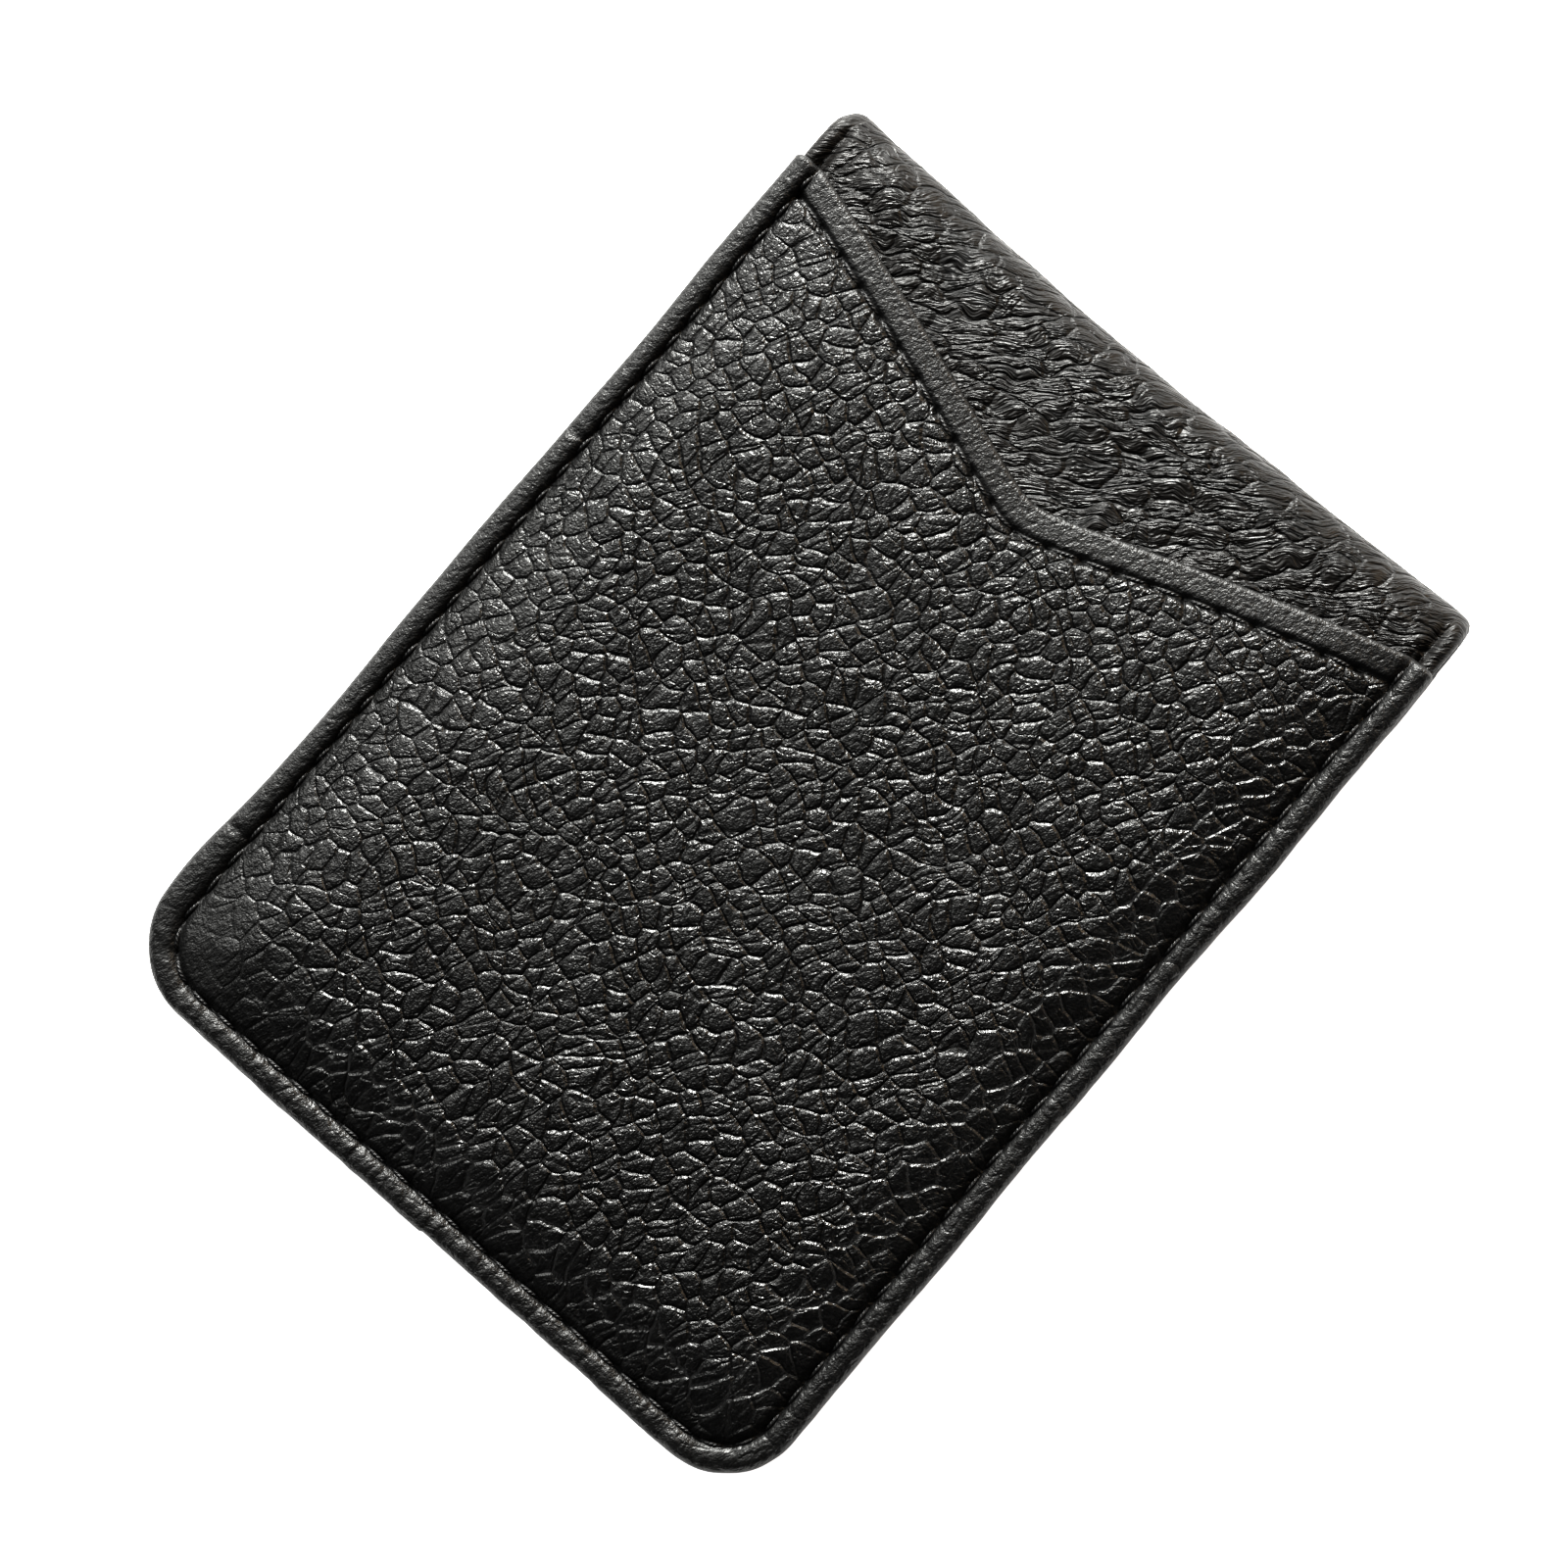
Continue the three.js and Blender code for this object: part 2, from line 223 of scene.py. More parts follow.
# %% The pebble grain group, for meshes and for materials
def make_grain_group(kind):
    tree, bench, given, result = new_group(
        "Pebble Grain" + (" Mesh" if kind == "GeometryNodeTree" else ""),
        kind,
        {"Hide": ("NodeSocketVector", None), "Pebble Size": ("NodeSocketFloat", 2.7)},
        {"Relief": "NodeSocketFloat", "Soft Relief": "NodeSocketFloat", "Crease": "NodeSocketFloat"},
    )
    hide = given.outputs["Hide"]
    pebble_rate = bench.math("DIVIDE", 1.0, given.outputs["Pebble Size"])

    # the hide stretches unevenly, widely and then finely, which bends the creases
    where = hide
    for rate, reach in ((0.16, 3.5), (0.75, 0.5)):
        stretch = bench.add("ShaderNodeTexNoise", Vector=hide, Scale=rate, Detail=1.0)
        shift = bench.vector("SUBTRACT", stretch.outputs["Color"], (0.5, 0.5, 0.5))
        where = bench.vector("ADD", where, bench.vector("SCALE", shift, scale=reach))

    pebbles = bench.cells(where, pebble_rate, 0.85)
    cracks = bench.cells(where, bench.math("MULTIPLY", pebble_rate, 2.3))
    drawn_out = bench.vector("MULTIPLY", where, (0.36, 1.0, 1.0))
    folds = bench.cells(drawn_out, bench.math("MULTIPLY", pebble_rate, 0.62))

    dome = bench.slope(pebbles, 0.11)
    shoulder = bench.step(pebbles, 0.0, 0.3)
    crease = bench.step(pebbles, 0.0, 0.04, 1.0, 0.0)
    fold = bench.math("SUBTRACT", 1.0, bench.slope(folds, 0.08))
    patchy = bench.step(bench.noise(hide, 0.5), 0.4, 0.62)
    crack = bench.math("MULTIPLY", bench.math("SUBTRACT", 1.0, bench.slope(cracks, 0.14)), patchy)
    swell = bench.noise(hide, 0.6, 1.0)

    relief = bench.math("MULTIPLY", dome, 0.62)
    relief = bench.math("MULTIPLY_ADD", shoulder, 0.1, relief)
    relief = bench.math("MULTIPLY_ADD", fold, -0.3, relief)
    relief = bench.math("MULTIPLY_ADD", crack, -0.25, relief)
    relief = bench.math("MULTIPLY_ADD", swell, 0.2, relief)
    soft = bench.math("MULTIPLY", shoulder, 0.7)
    soft = bench.math("MULTIPLY_ADD", swell, 0.5, soft)
    # Crease marks the creases, long folds and cracks; the leather material darkens its colour there as
    # painted shade and makes it rougher
    dark = bench.math("MAXIMUM", crease, bench.math("MAXIMUM", fold, bench.math("MULTIPLY", crack, 0.5)))
    for name, value in (("Relief", relief), ("Soft Relief", soft), ("Crease", dark)):
        tree.links.new(value, result.inputs[name])
    return tree


grain_for_meshes = make_grain_group("GeometryNodeTree")
grain_for_looks = make_grain_group("ShaderNodeTree")
print("grain group nodes:", len(grain_for_looks.nodes))


# %% Press the grain into a mesh
MIDDLE_OF_GRAIN = 0.75


def make_embosser():
    """A geometry nodes modifier that lifts each point along its normal by the grain."""
    number = ("NodeSocketFloat", None)
    tree, bench, given, result = new_group(
        "Emboss Leather",
        "GeometryNodeTree",
        {"Geometry": ("NodeSocketGeometry", None), "Pebble Size": number, "Relief": number},
        {"Geometry": "NodeSocketGeometry"},
    )
    hide = bench.add("GeometryNodeInputNamedAttribute", {"data_type": "FLOAT_VECTOR"}, Name="hide")
    press = bench.add("GeometryNodeInputNamedAttribute", {"data_type": "FLOAT"}, Name="press")
    grain = bench.group(
        grain_for_meshes, Hide=hide.outputs["Attribute"], Pebble_Size=given.outputs["Pebble Size"]
    )
    lift = bench.math("SUBTRACT", grain.outputs["Soft Relief"], MIDDLE_OF_GRAIN)
    lift = bench.math("MULTIPLY", lift, press.outputs["Attribute"])
    lift = bench.math("MULTIPLY", lift, given.outputs["Relief"])
    normal = tree.nodes.new("GeometryNodeInputNormal")
    offset = bench.vector("SCALE", normal.outputs[0], scale=bench.math("MULTIPLY", lift, MM))
    moved = bench.add("GeometryNodeSetPosition", Geometry=given.outputs["Geometry"], Offset=offset)
    tree.links.new(moved.outputs[0], result.inputs["Geometry"])
    return tree


embosser = make_embosser()


def emboss(piece, pebble_size, relief):
    """Presses the grain into a piece's mesh for good."""
    modifier = piece.modifiers.new("Emboss", "NODES")
    modifier.node_group = embosser
    amounts = {"Pebble Size": pebble_size, "Relief": relief}
    for item in embosser.interface.items_tree:
        if item.in_out == "INPUT" and item.name in amounts:
            modifier[item.identifier] = amounts[item.name]
    evaluated = piece.evaluated_get(bpy.context.evaluated_depsgraph_get())
    pressed = bpy.data.meshes.new_from_object(evaluated)
    piece.modifiers.clear()
    piece.data = pressed
    pressed.name = piece.name
    return piece


# %% [markdown]
# ## Leather, lining, board and thread
# Black leather is never one flat black. Its creases are duller, and the colour is darkened along them as
# painted shade, and the crowns of the pebbles are polished by hands. Apart from that painted shade the
# colour hardly changes: nearly all that the eye sees is light sliding over the relief. So the material
# spends its effort on the height that feeds the normal and on roughness, and keeps the colour very dark.

# %% Materials
def start_material(name):
    material = bpy.data.materials.new(name)
    material.use_nodes = True
    material.node_tree.nodes.clear()
    bench = Bench(material.node_tree)
    skin = bench.add("ShaderNodeBsdfPrincipled")
    output = bench.add("ShaderNodeOutputMaterial")
    material.node_tree.links.new(skin.outputs[0], output.inputs["Surface"])
    return material, bench, skin


def colour_between(bench, mask, low, high):
    ramp = bench.add("ShaderNodeValToRGB", Fac=mask)
    ramp.color_ramp.elements[0].color = (*low, 1.0)
    ramp.color_ramp.elements[1].color = (*high, 1.0)
    return ramp.outputs["Color"]


def place_on_hide(bench):
    """Where on its skin a point was cut from, in millimetres."""
    return bench.add("ShaderNodeAttribute", {"attribute_name": "hide"}).outputs["Vector"]


def dress(bench, skin, height, colour, rough):
    """Gives the shader its relief in millimetres, its colour and its roughness."""
    bump = bench.add("ShaderNodeBump", Height=height, Strength=1.0, Distance=MM)
    bench.feed(skin.inputs["Base Color"], colour)
    bench.feed(skin.inputs["Roughness"], rough)
    bench.feed(skin.inputs["Normal"], bump.outputs[0])


def leather(name, pebble_size, dark, light, relief, shine, fine=0.2, gloss=0.5, drawn=1.0):
    """Grained leather: relief is the grain's height in millimetres and fine that of the pores.

    A higher shine is a duller skin, gloss is the strength of its reflection, and drawn below 1
    stretches the pores along x.
    """
    material, bench, skin = start_material(name)
    hide = place_on_hide(bench)
    press = bench.add("ShaderNodeAttribute", {"attribute_name": "press"}).outputs["Fac"]
    grain = bench.group(grain_for_looks, Hide=hide, Pebble_Size=pebble_size)
    pores = bench.noise(bench.vector("MULTIPLY", hide, (drawn, 1.0, 1.0)), 1.8, 2.0, 0.8)
    scuffs = bench.noise(hide, 0.06, 3.0, 0.6)
    height = bench.math("MULTIPLY", bench.math("MULTIPLY", grain.outputs["Relief"], press), relief)
    height = bench.math("MULTIPLY_ADD", pores, fine, height)
    # the colour is darkened along the creases as painted shade, and the creases are also rougher
    crease = bench.math("MULTIPLY", grain.outputs["Crease"], press)
    spots = bench.math("MULTIPLY_ADD", scuffs, 0.6, bench.math("MULTIPLY", pores, 0.5))
    spots_and_crease_shade = bench.math("SUBTRACT", spots, crease)
    colour = colour_between(bench, bench.step(spots_and_crease_shade, -0.2, 0.75), dark, light)
    rough = bench.math("MULTIPLY_ADD", crease, 0.1, shine + 0.14)
    rough = bench.math("MULTIPLY_ADD", press, -0.14, rough)
    rough = bench.math("MULTIPLY_ADD", bench.math("SUBTRACT", scuffs, 0.5), 0.16, rough)
    rough = bench.math("MULTIPLY_ADD", bench.math("SUBTRACT", pores, 0.5), 0.2, rough)
    dress(bench, skin, height, colour, rough)
    skin.inputs["Specular IOR Level"].default_value = gloss
    return material


def woven(name, dark, light, pitch):
    """Fine twill: diagonal ribs of warp crossed by weft."""
    material, bench, skin = start_material(name)
    hide = place_on_hide(bench)
    axes = bench.add("ShaderNodeSeparateXYZ", Vector=hide)
    u = bench.math("MULTIPLY", axes.outputs[0], 2 * math.pi / pitch)
    v = bench.math("MULTIPLY", axes.outputs[1], 2 * math.pi / pitch)
    rib = bench.math("SINE", bench.math("ADD", u, v))
    weft = bench.math("SINE", bench.math("MULTIPLY", bench.math("SUBTRACT", u, v), 1.5))
    yarn = bench.math("MULTIPLY_ADD", rib, 0.32, bench.math("MULTIPLY_ADD", weft, 0.14, 0.5))
    fuzz = bench.noise(hide, 5.0, 3.0)
    cloth = bench.math("MULTIPLY_ADD", fuzz, 0.5, yarn)
    colour = colour_between(bench, bench.step(cloth, 0.2, 1.2), dark, light)
    rough = bench.math("MULTIPLY_ADD", fuzz, 0.2, 0.72)
    dress(bench, skin, bench.math("MULTIPLY", cloth, 0.05), colour, rough)
    skin.inputs["Sheen Weight"].default_value = 0.15
    return material


def pressed_board(name):
    material, bench, skin = start_material(name)
    fibres = bench.noise(place_on_hide(bench), 2.2, 5.0, 0.7)
    colour = colour_between(bench, fibres, (0.16, 0.13, 0.1), (0.3, 0.26, 0.2))
    rough = bench.math("MULTIPLY_ADD", fibres, 0.2, 0.75)
    dress(bench, skin, bench.math("MULTIPLY", fibres, 0.06), colour, rough)
    return material


def twisted_thread(name):
    """Waxed thread: "hide" runs along the thread in x and round it in y."""
    material, bench, skin = start_material(name)
    hide = place_on_hide(bench)
    axes = bench.add("ShaderNodeSeparateXYZ", Vector=hide)
    round_it = bench.math("MULTIPLY", axes.outputs[1], 3.0)
    turn = bench.math("MULTIPLY_ADD", axes.outputs[0], 2 * math.pi / THREAD_LAY, round_it)
    ply = bench.math("MULTIPLY_ADD", bench.math("SINE", turn), 0.5, 0.5)
    fibre = bench.noise(hide, 6.0, 2.0)
    height = bench.math("MULTIPLY_ADD", fibre, 0.02, bench.math("MULTIPLY", ply, 0.05))
    colour = colour_between(bench, ply, (0.0015, 0.0015, 0.0016), (0.006, 0.006, 0.0065))
    dress(bench, skin, height, colour, bench.math("MULTIPLY_ADD", fibre, 0.25, 0.35))
    return material


# %% The six materials
PEBBLE = 1.95
FLAKE = 2.0
SLOT_GRAIN = 1.1
THREAD_LAY = 0.42
black_leather = leather(
    "Black Pebble Leather", PEBBLE, (0.0005, 0.0005, 0.0005), (0.002, 0.002, 0.002), 0.24, 0.36,
)
# the fold and front cover are the same skin as the back, but their colour is lighter and warmer than the
# black leather's: painted warm light on the fold
fold_leather_look = leather(
    "Black Fold Leather", FLAKE, (0.0008, 0.0007, 0.0006), (0.004, 0.0032, 0.0026), 0.22, 0.38,
    fine=0.34, gloss=0.3, drawn=0.5,
)
slot_leather = leather(
    "Slot Leather", SLOT_GRAIN, (0.001, 0.001, 0.0011), (0.004, 0.004, 0.0045), 0.04, 0.5, fine=0.03,
)
lining_cloth = woven("Lining Cloth", (0.008, 0.008, 0.01), (0.04, 0.04, 0.045), 0.7)
board_look = pressed_board("Pressed Board")
thread_look = twisted_thread("Waxed Thread")
print("materials:", len(bpy.data.materials))

# %% [markdown]
# ## How a leaf's sheet is built
# Every flat piece here has the same plan: straight sides, two rounded free corners and an open top
# end. A subdivided box would put its points in the wrong places, because what matters is the seam
# and the rolled edge, which follow the outline. So a sheet is woven in three parts that share their
# points: an even grid up to the seam line, rings that leave the seam line and roll over the edge,
# and a turned hem along the top. The grid's rows crowd together in the corners so that the corner
# arcs stay round.

# %% The leaf's outline
def inside_distance(x, y, inset):
    """Distance inside the outline that lies inset from the leaf's edge; the top end is open."""
    half, low, radius = HALF_WIDTH - inset, FREE_END_Y + inset, CORNER_RADIUS - inset
    qx = np.abs(x) - (half - radius)
    qy = (low + radius) - y
    beyond = np.hypot(np.maximum(qx, 0), np.maximum(qy, 0))
    return radius - beyond - np.minimum(np.maximum(qx, qy), 0)


def leaf_grid(inset, top_of, cell, fine_band, fine_cell):
    """Rows and columns of points that fill the outline at that inset, up to top_of(x)."""
    half, low, radius = HALF_WIDTH - inset, FREE_END_Y + inset, CORNER_RADIUS - inset
    turns = np.linspace(0, math.pi / 2, max(6, round(radius * 1.57 / min(cell, 1.0))), endpoint=False)
    columns = np.linspace(-1, 1, round(2 * half / cell) + 1)
    corner_y = low + radius * (1 - np.cos(turns))
    corner_half = half - radius + radius * np.sin(turns)
    shoulder = low + radius
    reach = float(np.mean(top_of(columns * half))) - shoulder
    fine = np.arange(0, fine_band, fine_cell)
    coarse = np.linspace(fine_band, reach, max(2, round((reach - fine_band) / cell)))
    share = 1 - np.concatenate([fine, coarse])[::-1] / reach
    x = np.concatenate([np.outer(corner_half, columns), np.tile(columns * half, (len(share), 1))])
    top = top_of(columns * half)
    straight_y = shoulder + np.outer(share, top - shoulder)
    y = np.concatenate([np.tile(corner_y[:, None], (1, len(columns))), straight_y])
    outward = np.concatenate(
        [np.stack([np.sin(turns), -np.cos(turns)], 1), np.tile([1.0, 0.0], (len(share), 1))]
    )
    return x, y, outward


def outline_of(x, outward):
    """All point numbers of a grid, then those down the left, along the free end and up the right."""
    index = np.arange(x.size).reshape(x.shape)
    line = np.concatenate([index[::-1, 0], index[0, 1:-1], index[:, -1]])
    down = np.tile([0.0, -1.0], (x.shape[1] - 2, 1))
    return index, line, np.concatenate([outward[::-1] * [-1, 1], down, outward])


# %% A piece from points, faces and hide positions
def make_piece(name, points, faces, hide, press, material):
    """A smooth mesh object from millimetre points and four-cornered faces.

    hide is each point's place on the skin it was cut from, and press is how deep the grain goes.
    """
    mesh = bpy.data.meshes.new(name)
    points = np.asarray(points, float) * MM
    mesh.vertices.add(len(points))
    mesh.vertices.foreach_set("co", points.astype(np.float32).ravel())
    mesh.loops.add(faces.size)
    mesh.loops.foreach_set("vertex_index", faces.astype(np.int32).ravel())
    mesh.polygons.add(len(faces))
    mesh.polygons.foreach_set("loop_start", np.arange(0, faces.size, 4, dtype=np.int32))
    mesh.update(calc_edges=True)
    mesh.validate()
    mesh.shade_smooth()
    hide_data = mesh.attributes.new("hide", "FLOAT_VECTOR", "POINT").data
    hide_data.foreach_set("vector", np.asarray(hide, np.float32).ravel())
    press_data = mesh.attributes.new("press", "FLOAT", "POINT").data
    press_data.foreach_set("value", np.asarray(press, np.float32))
    mesh.materials.append(material)
    piece = bpy.data.objects.new(name, mesh)
    bpy.context.scene.collection.objects.link(piece)
    return piece


def quads_between(first, second):
    """Faces between two equally long rows of point numbers."""
    return np.stack([first[:-1], first[1:], second[1:], second[:-1]], 1)


# %% Needle holes and the turned hem
STITCH = 3.1
HOLE_RADIUS = 0.34
HOLE_DEPTH = 0.3
HEM_TURNS = 7
HEM_TUCK = 2.5


def needle_holes(along, pitch, radius):
    """1 at every needle hole along a seam, 0 between."""
    return np.exp(-(((along / pitch + 0.5) % 1 - 0.5) * pitch / radius) ** 2)


def turned_hem(flat, rings, last_row, hem):
    """Rows that roll the top edge under itself, with a rounded cap on each end of the rim."""
    left = [ring[0] for ring in rings[:0:-1]]
    right = [ring[-1] for ring in rings[1:]]
    edge = np.concatenate([left, last_row, right]).astype(int)
    start = flat[edge]
    is_rim = np.zeros(len(edge), bool)
    centres = start.copy()
    for end in (slice(0, len(left)), slice(len(left) + len(last_row), None)):
        is_rim[end] = True
        centres[end] = start[end].mean(0)
    tangent = np.gradient(start[:, :2], axis=0)
    tangent[is_rim] = [1.0, 0.0]
    tangent /= np.linalg.norm(tangent, axis=1)[:, None] + 1e-9
    ahead = np.stack([-tangent[:, 1], tangent[:, 0]], 1)
    points, faces = [], []
    previous, total = edge, len(flat)
    for k in range(1, HEM_TURNS + 2):
        angle = math.pi * min(k, HEM_TURNS) / HEM_TURNS
        rolled = start.copy()
        rolled[:, :2] += ahead * (hem / 2 * math.sin(angle) - (HEM_TUCK if k > HEM_TURNS else 0.0))
        rolled[:, 2] -= hem / 2 * (1 - math.cos(angle))
        capped = centres + (start - centres) * math.cos(angle / 2)
        capped[:, 1] += hem / 2 * math.sin(angle / 2)
        points.append(np.where(is_rim[:, None], capped, rolled))
        numbers = np.arange(total, total + len(edge))
        faces.append(quads_between(previous, numbers))
        previous, total = numbers, total + len(edge)
    return points, faces


# %% The sheet builder
def leaf_sheet(name, material, level, out, inset, seam, top_of, rim, height, hem, cell,
               fine_band, fine_cell, hide_of, press_of, rim_press, wobble=None):
    """One sheet of a leaf; returns it with its seam line, where the thread will lie.

    level is the Z of its face and out is +1 or -1, the way the face looks. rim lists (outward,
    upward) steps from the seam line over the edge, height gives the face's height at (x, y), hem is
    the turned top edge's thickness, and wobble moves rim points along the seam's length. Rows are
    fine_cell apart in the fine_band nearest the top, and cell apart below it.
    """
    x, y, outward = leaf_grid(inset + seam, top_of, cell, fine_band, fine_cell)
    index, line, way = outline_of(x, outward)
    grid = np.stack([x.ravel(), y.ravel(), height(x, y).ravel()], 1)
    base = grid[line]
    along = np.concatenate([[0], np.cumsum(np.hypot(*np.diff(base[:, :2], axis=0).T))])
    thread_line = base.copy()
    base[:, 2] -= HOLE_DEPTH * needle_holes(along, STITCH, HOLE_RADIUS)
    grid[line] = base
    faces = [quads_between(first, second) for first, second in zip(index, index[1:])]
    points, rings = [grid], [line]
    total = len(grid)
    for number, (step, rise) in enumerate(rim):
        extra_out, extra_up = wobble(along, number, base) if wobble else (0.0, 0.0)
        ring = base.copy()
        ring[:, :2] += way * np.reshape(step + extra_out, (-1, 1))
        ring[:, 2] = rise + extra_up
        points.append(ring)
        rings.append(np.arange(total, total + len(ring)))
        total += len(ring)
    for first, second in zip(rings, rings[1:]):
        faces.append(quads_between(second, first))

    flat = np.concatenate(points)
    if hem:
        hem_points, hem_faces = turned_hem(flat, rings, index[-1], hem)
        flat = np.concatenate([flat] + hem_points)
        faces += hem_faces
    faces = np.concatenate(faces)
    hide = np.stack(hide_of(flat[:, 0], flat[:, 1]), 1)
    inner = inside_distance(flat[:, 0], flat[:, 1], inset + seam)
    press = press_of(flat[:, 0], flat[:, 1]) * (1 - (1 - rim_press) * ease(0.4, -0.2, inner))
    hide[:, 2] = np.where(inner < 0, flat[:, 2] * 0.8, 0.0)
    placed = as_sewn(flat * [1, 1, out] + [0, 0, level])
    if out < 0:
        faces = faces[:, ::-1]
    piece = make_piece(name, placed, faces, hide, press, material)
    print(f"{name}: {len(placed)} points, {len(faces)} faces")
    return piece, thread_line


# %% [markdown]
# ## The front pocket panel
# This is the piece that everyone sees: one skin of pebbled leather, stretched over the pocket like
# a thin pillow. It drops into the seam, stands up again in a rolled edge about two and a half
# millimetres wide, and goes round the side of the leaf. The seam pulls small puckers into the roll
# at every stitch. All of that is one height function plus one list of steps over the rim.

# %% Heights of the pocket panel
THREAD = 0.4
POCKET_SIDE_Y = panel_high[1]
NOTCH_Y = 34.3
NOTCH_SLOPE = (POCKET_SIDE_Y - NOTCH_Y) / HALF_WIDTH
MOUTH_SEAM = 2.4
PANEL_LEVEL = panel_low[2] + LEATHER


def mouth_edge(x):
    """The V: nearly straight arms that bow a little, and a soft point."""
    arm = np.sqrt(np.asarray(x, float) ** 2 + 2.2 ** 2) - 2.2
    bow = 0.5 * np.sin(np.pi * np.clip(np.abs(x) / HALF_WIDTH, 0, 1))
    return NOTCH_Y + arm * NOTCH_SLOPE * 1.06 + bow


def below_mouth(x, y):
    """Distance below the V edge."""
    return (mouth_edge(x) - y) * math.cos(math.atan(NOTCH_SLOPE))


vee_x = np.linspace(-34.2, 34.2, 400)
vee_y = mouth_edge(vee_x) - MOUTH_SEAM / math.cos(math.atan(NOTCH_SLOPE))
vee_along = np.concatenate([[0], np.cumsum(np.hypot(np.diff(vee_x), np.diff(vee_y)))])
MOUTH_STITCH = 3.3


def panel_height(x, y):
    """The pillow, the pressed strip and groove along the mouth, the seam's trench and small tucks."""
    inner = np.maximum(inside_distance(x, y, SEAM_INSET), 0)
    mouth = below_mouth(x, y)
    from_left = np.maximum(HALF_WIDTH - SEAM_INSET + x, 0)
    free_end = y - (FREE_END_Y + SEAM_INSET)
    sides = HALF_WIDTH - SEAM_INSET - np.abs(x)
    reach = 4.5 + 3.5 * ease(-6, 6, sides - free_end)
    pillow = 1.1 * (1 - np.exp(-inner / reach))
    pillow = pillow + 0.9 * (1 - np.exp(-from_left / 7)) * ease(0, 7, inner)
    pillow = pillow * (0.35 + 0.65 * (1 - np.exp(-np.maximum(mouth, 0) / 9)))
    strip = ease(MOUTH_SEAM + 0.7, MOUTH_SEAM - 0.7, mouth)
    at_hole = needle_holes(np.interp(x, vee_x, vee_along), MOUTH_STITCH, HOLE_RADIUS)
    seam = -(0.4 + 0.4 * at_hole) * np.exp(-((mouth - MOUTH_SEAM) / 0.36) ** 2)
    trench = -0.5 * np.exp(-(inner / 0.45) ** 2)
    sway = 0.14 * uneven(x, y, 17, 3) + 0.07 * uneven(x, y, 8, 4)
    tucks = uneven(x, y * 0.3, 1.7, 8) * 0.16 * np.exp(-np.maximum(free_end, 0) / 4.5)
    tucks = tucks + uneven(x * 0.3, y, 1.7, 9) * 0.09 * np.exp(-np.maximum(sides, 0) / 3.5)
    quiet = 1 - 0.8 * strip
    return pillow + seam + trench + (sway + tucks) * quiet * ease(0, 1.5, inner)


def panel_hide(x, y):
    """Near the free end the pebbles are drawn out towards the seam."""
    free_end = np.maximum(y - (FREE_END_Y + SEAM_INSET), 0)
    drawn = y + 2.6 * np.exp(-free_end / 6.5)
    along, across = 0.42 * x + 0.907 * drawn, 0.907 * x - 0.42 * drawn
    return 40 + along / 1.08, 90 + across, 0 * x


def panel_press(x, y):
    strip = ease(MOUTH_SEAM + 0.5, MOUTH_SEAM - 0.3, below_mouth(x, y))
    inner = inside_distance(x, y, SEAM_INSET)
    smooth_corner = np.exp(-(((x + 33) / 7) ** 2 + ((y + 47) / 7) ** 2))
    left_band = np.exp(-(HALF_WIDTH - SEAM_INSET + x) / 5.0)
    press = (1 - 0.86 * strip) * (1 - 0.92 * smooth_corner) * (1 - 0.35 * left_band)
    return press * (0.55 + 0.45 * ease(0, 2.5, inner))


# %% The rolled rim and its puckers
PANEL_RIM = [
    (0.1, -0.42), (0.24, -0.14), (0.42, 0.06), (0.7, 0.18), (1.1, 0.22), (1.5, 0.19), (1.85, 0.08),
    (2.12, -0.1), (2.33, -0.38), (2.46, -0.75), (2.5, -1.2), (2.44, -1.65), (2.26, -2.05),
    (1.95, -2.35), (1.4, -2.45), (0.4, -2.45),
]
DENTS_ON_LEFT_EDGE = (13.0, -35.0)


def puckers(strength_at, seed):
    """How the thread draws the roll in at each stitch, and how the edge wanders."""
    def wobble(along, number, base):
        near_seam = math.exp(-((number - 2.5) / 2.6) ** 2)
        on_top = math.exp(-((number - 4.5) / 3.5) ** 2)
        pull = strength_at(base)
        tuck = uneven(along + 0.12 * number, number * 0.08, 0.4, seed)
        bunch = uneven(along, number * 0.15, 1.5, seed + 2)
        drift = uneven(along, 0.5, 11, seed + 1)
        holes = needle_holes(along, STITCH, 0.35)
        up = -pull * (0.14 * near_seam * holes + on_top * (0.1 * tuck + 0.04 * bunch))
        outwards = drift * 0.18 + pull * 0.05 * bunch
        on_left = base[:, 0] < 0
        left_bulge = 0.7 * np.exp(-((base[:, 1] + 40) / 7) ** 2) * on_left
        for dent_y in DENTS_ON_LEFT_EDGE:
            up = up - 0.25 * np.exp(-((base[:, 1] - dent_y) / 0.45) ** 2) * on_left * on_top
        edge = min(number / 6, 1.0)
        return (outwards + left_bulge) * edge, up

    return wobble


def panel_pull(base):
    """The seam pulls hardest along the free end and least along the left side."""
    sides = ease(-47, -41, base[:, 1])
    return 1.0 - np.where(base[:, 0] < 0, 0.75, 0.45) * sides


panel, panel_seam = leaf_sheet(
    "Front_Pocket_Panel", black_leather, PANEL_LEVEL, 1, 0, SEAM_INSET, mouth_edge, PANEL_RIM,
    panel_height, 1.15, 0.31, 4.2, 0.21, panel_hide, panel_press, 0.45, puckers(panel_pull, 21),
)
emboss(panel, PEBBLE, 0.07)
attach(panel, "front_leaf")
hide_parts("front_pocket_panel")


# %% [markdown]
# ## The cover leather and the fold
# Behind the pocket lies the cover: a second skin that starts under the V, rolls over the top and
# becomes the back. It is a little narrower than the pocket, so the pocket's rolled edge stands
# proud of it at both sides. On the roll the grain is pulled sideways into flaky wrinkles. The cover
# and the fold are made from the same section, so they meet without a step.

# %% The cover's section
COVER_INSET = 0.25
COVER_SEAM = 1.9
COVER_CELL = 0.24
SEAM_STOP_Y = 49.2
COVER_RIM = [
    (0.15, -0.34), (0.35, -0.1), (0.65, 0.1), (0.95, 0.16), (1.25, 0.1), (1.55, -0.08), (1.75, -0.34),
    (1.86, -0.66), (1.8, -0.95), (1.5, -1.1), (0.9, -1.1),
]


